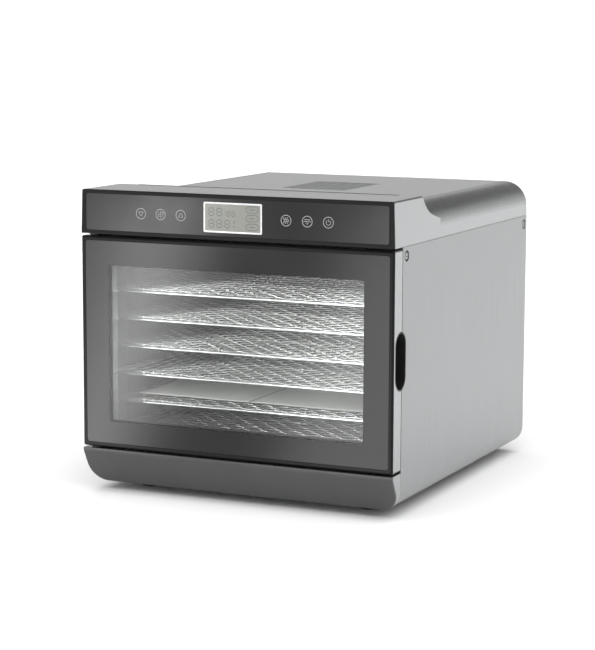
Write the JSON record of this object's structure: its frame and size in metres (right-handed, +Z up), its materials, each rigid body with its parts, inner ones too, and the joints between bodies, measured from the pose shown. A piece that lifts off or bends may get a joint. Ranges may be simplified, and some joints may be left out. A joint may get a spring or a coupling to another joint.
{
  "type": "food dehydrator",
  "caption": "Countertop cabinet food dehydrator with a hinged glass door, touch control head, stacked wire mesh trays and a rear fan.",
  "frame": {"origin": "centre of the footprint on the surface the feet stand on", "axes": "+X to the right seen from the front, +Y from the door to the rear, +Z up"},
  "size_m": [0.345, 0.45, 0.315],
  "materials": {
    "silver_shell": "satin silver-painted plastic",
    "brushed_steel": "fine vertical brushed stainless sheet",
    "rear_steel": "plain galvanised sheet",
    "liner_steel": "mill-finish stainless sheet",
    "galvanised_steel": "galvanised sheet",
    "dark_grille": "fine dark mesh",
    "black_gloss": "gloss black moulding",
    "fascia_black": "gloss black touch panel",
    "black_plastic": "matt black moulding",
    "chin_black": "satin dark grey moulding",
    "black_print": "black border",
    "display_silver": "bright silver border",
    "display_glass": "grey-green liquid-crystal face",
    "contact_foam": "conductive foam",
    "circuit_board": "green circuit board",
    "door_glass": "clear tempered glass",
    "tray_chrome": "bright chromed wire",
    "mesh_sheet_white": "white perforated sheet",
    "heater_sheath": "oxidised steel heater sheath",
    "probe_steel": "drawn steel tube",
    "white_nylon": "natural nylon",
    "stator_steel": "stacked laminations",
    "copper_winding": "enamelled copper wire",
    "bearing_bronze": "sintered bronze",
    "foot_rubber": "matt black rubber",
    "zinc_screw": "zinc plated",
    "side_screw_steel": "plated pan head",
    "magnet_ferrite": "ferrite",
    "door_silicone": "grey silicone",
    "fan_aluminium": "pressed sheet"
  },
  "bodies": {
    "cabinet": {"top_cap": "silver_shell", "top_vent_grille": "dark_grille", "control_bezel": "black_gloss", "control_fascia": "fascia_black", "display_frame": "display_silver", "display_lens": "display_glass", "display_module": "black_plastic", "key_contacts": "contact_foam", "control_board": "circuit_board", "power_board": "circuit_board", "body_wrap": "brushed_steel", "rear_panel": "rear_steel", "motor_cover": "black_plastic", "valance_fascia": "chin_black", "valance_shell": "silver_shell", "front_frame": "liner_steel", "cavity_wall_left": "liner_steel", "cavity_wall_right": "liner_steel", "cavity_roof": "liner_steel", "cavity_floor": "liner_steel", "tray_rails_left": "liner_steel", "tray_rails_right": "liner_steel", "fan_baffle": "liner_steel", "fan_chamber_back": "galvanised_steel", "heater_element": "heater_sheath", "heater_brackets": "galvanised_steel", "thermal_cutout": "black_plastic", "temperature_probe": "probe_steel", "terminal_block": "white_nylon", "cord_gland": "black_plastic", "motor_stator": "stator_steel", "motor_coil": "copper_winding", "motor_bracket": "galvanised_steel", "motor_bearings": "bearing_bronze", "hinge_bushes": "black_plastic", "body_pull_cup": "black_plastic", "feet": "foot_rubber", "foot_screws": "zinc_screw", "side_screws": "side_screw_steel", "rear_screws": "zinc_screw"},
    "door": {"door_rim": "black_gloss", "door_glass": "door_glass", "door_inner_frame": "black_print", "door_frame": "silver_shell", "door_magnets": "magnet_ferrite", "door_seal": "door_silicone", "hinge_pins": "zinc_screw", "door_pull_cup": "black_plastic"},
    "fan": {"fan_impeller": "fan_aluminium", "motor_shaft": "zinc_screw", "motor_rotor": "stator_steel"},
    "tray_1": {"tray_1": "tray_chrome"},
    "tray_2": {"tray_2": "tray_chrome"},
    "tray_3": {"tray_3": "tray_chrome"},
    "tray_4": {"tray_4": "tray_chrome"},
    "tray_5": {"tray_5": "tray_chrome", "mesh_sheets": "mesh_sheet_white"},
    "tray_6": {"tray_6": "tray_chrome"}
  },
  "joints": [
    {"name": "door_hinge", "type": "hinge", "parent": "cabinet", "child": "door", "pos_m": [-0.1607, -0.2155, 0.15835], "axis": [0, 0, -1], "range_deg": [0, 100]},
    {"name": "fan_spin", "type": "hinge", "parent": "cabinet", "child": "fan", "pos_m": [0, 0.13, 0.155], "axis": [0, 1, 0], "continuous": true},
    {"name": "tray_1_slide", "type": "slide", "parent": "cabinet", "child": "tray_1", "axis": [0, -1, 0], "range_m": [0, 0.007]},
    {"name": "tray_2_slide", "type": "slide", "parent": "cabinet", "child": "tray_2", "axis": [0, -1, 0], "range_m": [0, 0.007]},
    {"name": "tray_3_slide", "type": "slide", "parent": "cabinet", "child": "tray_3", "axis": [0, -1, 0], "range_m": [0, 0.007]},
    {"name": "tray_4_slide", "type": "slide", "parent": "cabinet", "child": "tray_4", "axis": [0, -1, 0], "range_m": [0, 0.007]},
    {"name": "tray_5_slide", "type": "slide", "parent": "cabinet", "child": "tray_5", "axis": [0, -1, 0], "range_m": [0, 0.007]},
    {"name": "tray_6_slide", "type": "slide", "parent": "cabinet", "child": "tray_6", "axis": [0, -1, 0], "range_m": [0, 0.007]}
  ]
}
